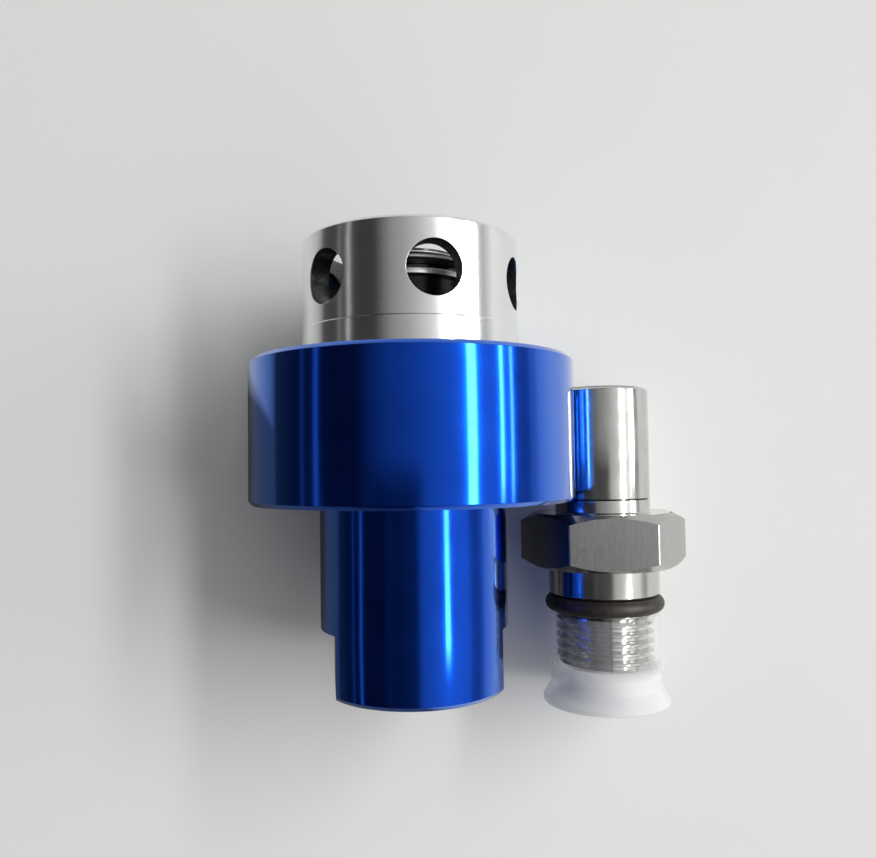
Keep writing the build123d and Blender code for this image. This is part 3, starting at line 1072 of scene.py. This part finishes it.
def rotor_body():
    """Tube, hexagon, pilot and thread in one piece; its flats and the line on its tube are set apart."""
    hex_end = hex_start - hex_length
    o_ring_start = hex_end - pilot_length
    thread_start = o_ring_start - groove_length
    slope = tan(radians(hex_chamfer_angle))
    rings = [rotor_ring(r, y) for r, y in rounded([
        (rotor_bore, tube_end - rotor_seat_depth, 0.0),
        (rotor_seat_radius, tube_end - rotor_seat_depth, 0.0),
        (rotor_seat_radius, tube_end, 0.1),
        (tube_radius - tube_edge, tube_end, 0.1),
        (tube_radius, tube_end - tube_edge, 0.1),
        (tube_radius, mark_start + mark_width, 0.03),
        (tube_radius - mark_depth, mark_start + mark_width, 0.0),
        (tube_radius - mark_depth, mark_start, 0.0),
        (tube_radius, mark_start, 0.03),
        (tube_radius, hex_start, hex_root_radius),
        (hex_face_radius, hex_start, 0.0),
    ])]
    rise = (hex_corner_radius - hex_face_radius) / HEX_CHAMFER_STEPS
    limits = [hex_face_radius + rise * i for i in range(HEX_CHAMFER_STEPS + 1)]
    rings += [hex_ring(limit, hex_start - (limit - hex_face_radius) * slope) for limit in limits]
    rings += [hex_ring(limit, hex_end + (limit - hex_face_radius) * slope) for limit in reversed(limits)]
    rings += [rotor_ring(r, y) for r, y in rounded([
        (hex_face_radius, hex_end, 0.0),
        (pilot_radius, hex_end, 0.2),
        (pilot_radius, o_ring_start + pilot_edge, 0.08),
        (pilot_radius - pilot_edge, o_ring_start, 0.08),
        (groove_radius, o_ring_start, 0.15),
        (groove_radius, thread_start, 0.0),
    ])]
    rings += list(reversed(rotor_thread()))
    rings += [rotor_ring(r, y) for r, y in [
        (rotor_bore + rotor_bore_chamfer, thread_end),
        (rotor_bore, thread_end + rotor_bore_chamfer),
        (rotor_bore, tube_end - rotor_seat_depth),
    ]]
    piece = solid("rotor", [rings], "rotor", materials["turned_stainless"],
                  ["rotor_body"])

    def flats(radius, station):
        return radius > hex_face_radius and hex_end < station < hex_start

    def mark_groove_shade(radius, station):
        return radius < tube_radius - 0.02 and mark_start < station < mark_start + mark_width

    add_finish(piece, materials["milled_stainless"], flats, rotor_axis)
    # The line's groove gets painted shade.
    add_finish(piece, materials["dark_steel_and_groove_shade"], mark_groove_shade, rotor_axis)
    return piece


def rotor_o_ring():
    """The O-ring between the pilot and the thread."""
    low, high = span("rotor_o_ring", Z)
    reach = (high - low) / 2 - o_ring_wire_radius
    station = middle("rotor_o_ring", Y)
    outline = []
    for i in range(O_RING_STEPS + 1):
        a = 2 * pi * i / O_RING_STEPS
        outline.append((reach + o_ring_wire_radius * cos(a), station + o_ring_wire_radius * sin(a)))
    return solid("rotor_o_ring_visual", [lathe(outline, rotor_axis)], "rotor",
                 materials["o_ring_rubber"], ["rotor_o_ring"])


def thread_cap():
    """The plastic cap with its flared end."""
    rim_start = cap_end + cap_rim_length
    wall = cap_bore + cap_wall
    cap_floor = cap_end + cap_end_wall
    outline = rounded([
        (0.0, cap_end, 0.0),
        (cap_rim_radius, cap_end, 0.3),
        (cap_rim_radius, rim_start, 0.25),
        (wall, rim_start + cap_flare_length, 1.5),
        (wall, cap_mouth, 0.3),
        (cap_bore, cap_mouth, 0.3),
        (cap_bore, cap_floor, 0.5),
        (0.0, cap_floor, 0.0),
    ], 6)
    return solid("cap", [lathe(outline, rotor_axis)], "cap",
                 materials["milky_plastic"], ["thread_cap"])


def hidden_nodes():
    """CAD nodes whose shape is kept, each with its own finish."""
    finishes = {
        "cage_o_ring": "o_ring_rubber",
        "retaining_ring": "spring_steel",
        "guide_bush": "bearing_plastic",
        "secondary_o_ring": "o_ring_rubber",
        "backup_ring": "bearing_plastic",
        "spring_seat_ring": "polished_stainless",
        "anti_rotation_pins": "polished_stainless",
    }
    for i in range(1, spring_count + 1):
        finishes["spring_%d" % i] = "spring_steel"
    for node, finish in finishes.items():
        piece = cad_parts[node]
        piece.data.materials.clear()
        piece.data.materials.append(materials[finish])
    for i in range(1, spring_count + 1):
        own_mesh(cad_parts["spring_%d" % i])


housing_body()
vent_cage()
seal_carrier()
seal_ring_band()
stator_seal()
rotor_body()
rotor_seal()
rotor_o_ring()
thread_cap()
hidden_nodes()


# Stage, light and camera


# Metres from the middle of the floor to its edges
floor_reach = 3.0


def make_floor():
    """The surface that the object lies on."""
    level = cad_low.z
    mesh = bpy.data.meshes.new("floor")
    corners = [(-1, -1), (1, -1), (1, 1), (-1, 1)]
    mesh.from_pydata([(x * floor_reach, y * floor_reach, level) for x, y in corners], [], [(0, 1, 2, 3)])
    plane = bpy.data.objects.new("floor", mesh)
    bpy.context.scene.collection.objects.link(plane)
    mesh.materials.append(floor_paint())


# The room's light by its turn about the housing's axis, from +Z towards +X
room = [(-100, 0.1), (-93, 0.06), (-80, 0.05), (-50, 0.04), (-31, 0.042), (-24, 0.13), (-12, 0.29),
        (0, 0.37), (12, 0.5), (22, 0.64), (30, 0.74), (36, 0.88), (45, 1.0), (60, 0.96), (73, 0.84),
        (79, 0.47), (87, 0.41), (93, 0.5), (100, 0.56)]
# Narrow lamps: turn, half width, strength, and the tilts towards -Y and +Y where they end
lamps = [(45.2, 2.9, 24.0, -14, 40), (67.2, 1.4, 18.0, -7, 20), (75.3, 1.1, 11.0, -7, 20),
         (-61.5, 1.8, 0.6, -60, 60), (-73.0, 1.4, 0.22, -60, 60)]
# The dark shape that stands over the lower half: the turns and the tilts where it fades
shade_turns = (-34, -14, 6, 16)
shade_tilt = (0, -8)
shade_depth = 0.74
# Past these tilts towards either end of the axis the room is darker
ends_dim = ((38, 62), (-52, -70))
ends_depth = 0.75
# Degrees of tilt to either side of a lamp's end, over which it fades
lamp_fade = 4
backdrop = (0.75, 0.76, 0.745)


def light_room():
    """The room as a light that depends on the turn about the housing's axis and the tilt along it."""
    world = bpy.data.worlds.new("room")
    bpy.context.scene.world = world
    world.use_nodes = True
    tree = world.node_tree
    tree.nodes.clear()

    made = NodeTree(tree)
    node, math, fade = made.node, made.math, made.fade
    x, y, z = node("SeparateXYZ", {0: node("TexCoord").outputs["Generated"]}).outputs
    turn = math("DEGREES", math("ARCTAN2", x, z))
    across = math("SQRT", math("ADD", math("MULTIPLY", x, x), math("MULTIPLY", z, z)))
    tilt = math("DEGREES", math("ARCTAN2", y, across))
    low, high = room[0][0], room[-1][0]
    ramp = node("ValToRGB", {0: made.spread(turn, 0.0, 1.0, low, high)})
    while len(ramp.color_ramp.elements) < len(room):
        ramp.color_ramp.elements.new(0.5)
    for element, (angle, level) in zip(ramp.color_ramp.elements, room):
        element.position = (angle - low) / (high - low)
        element.color = (level, level, level, 1.0)
    light = node("RGBToBW", {0: ramp.outputs[0]}).outputs[0]
    first, second, third, fourth = shade_turns
    between = math("MULTIPLY", fade(turn, first, second), fade(turn, fourth, third))
    shade = math("MULTIPLY", between, math("MULTIPLY", fade(tilt, *shade_tilt), shade_depth))
    light = math("MULTIPLY", light, math("SUBTRACT", 1.0, shade))
    for near, far in ends_dim:
        dim = math("MULTIPLY", fade(tilt, near, far), ends_depth)
        light = math("MULTIPLY", light, math("SUBTRACT", 1.0, dim))
    for angle, half, strength, first, last in lamps:
        off = math("ABSOLUTE", math("SUBTRACT", turn, angle))
        glow = fade(off, half * 0.5, half * 1.5, strength, 0.0)
        start = fade(tilt, first - lamp_fade, first + lamp_fade)
        stop = fade(tilt, last + lamp_fade, last - lamp_fade)
        glow = math("MULTIPLY", glow, math("MULTIPLY", start, stop))
        light = math("ADD", light, glow)
    room_light = node("Background", {0: light, 1: 1.0})
    plain = node("Background", {0: backdrop, 1: 1.0})
    seen = node("LightPath").outputs["Is Camera Ray"]
    either = node("MixShader", {0: seen, 1: room_light.outputs[0], 2: plain.outputs[0]})
    output = node("OutputWorld")
    tree.links.new(either.outputs[0], output.inputs["Surface"])


def place_camera():
    """The photograph's viewpoint, fitted to the object's outline."""
    data = bpy.data.cameras.new("camera")
    camera = bpy.data.objects.new("camera", data)
    bpy.context.scene.collection.objects.link(camera)
    data.sensor_width = 36.0
    data.lens = 32.645
    data.clip_start = 0.005
    data.clip_end = 20.0
    camera.location = (0.011077, -0.015777, 0.123729)
    camera.rotation_euler = (0.0420, 0.0574, -0.0142)
    bpy.context.scene.camera = camera


make_floor()
light_room()
place_camera()
bpy.context.scene.view_settings.view_transform = "Standard"
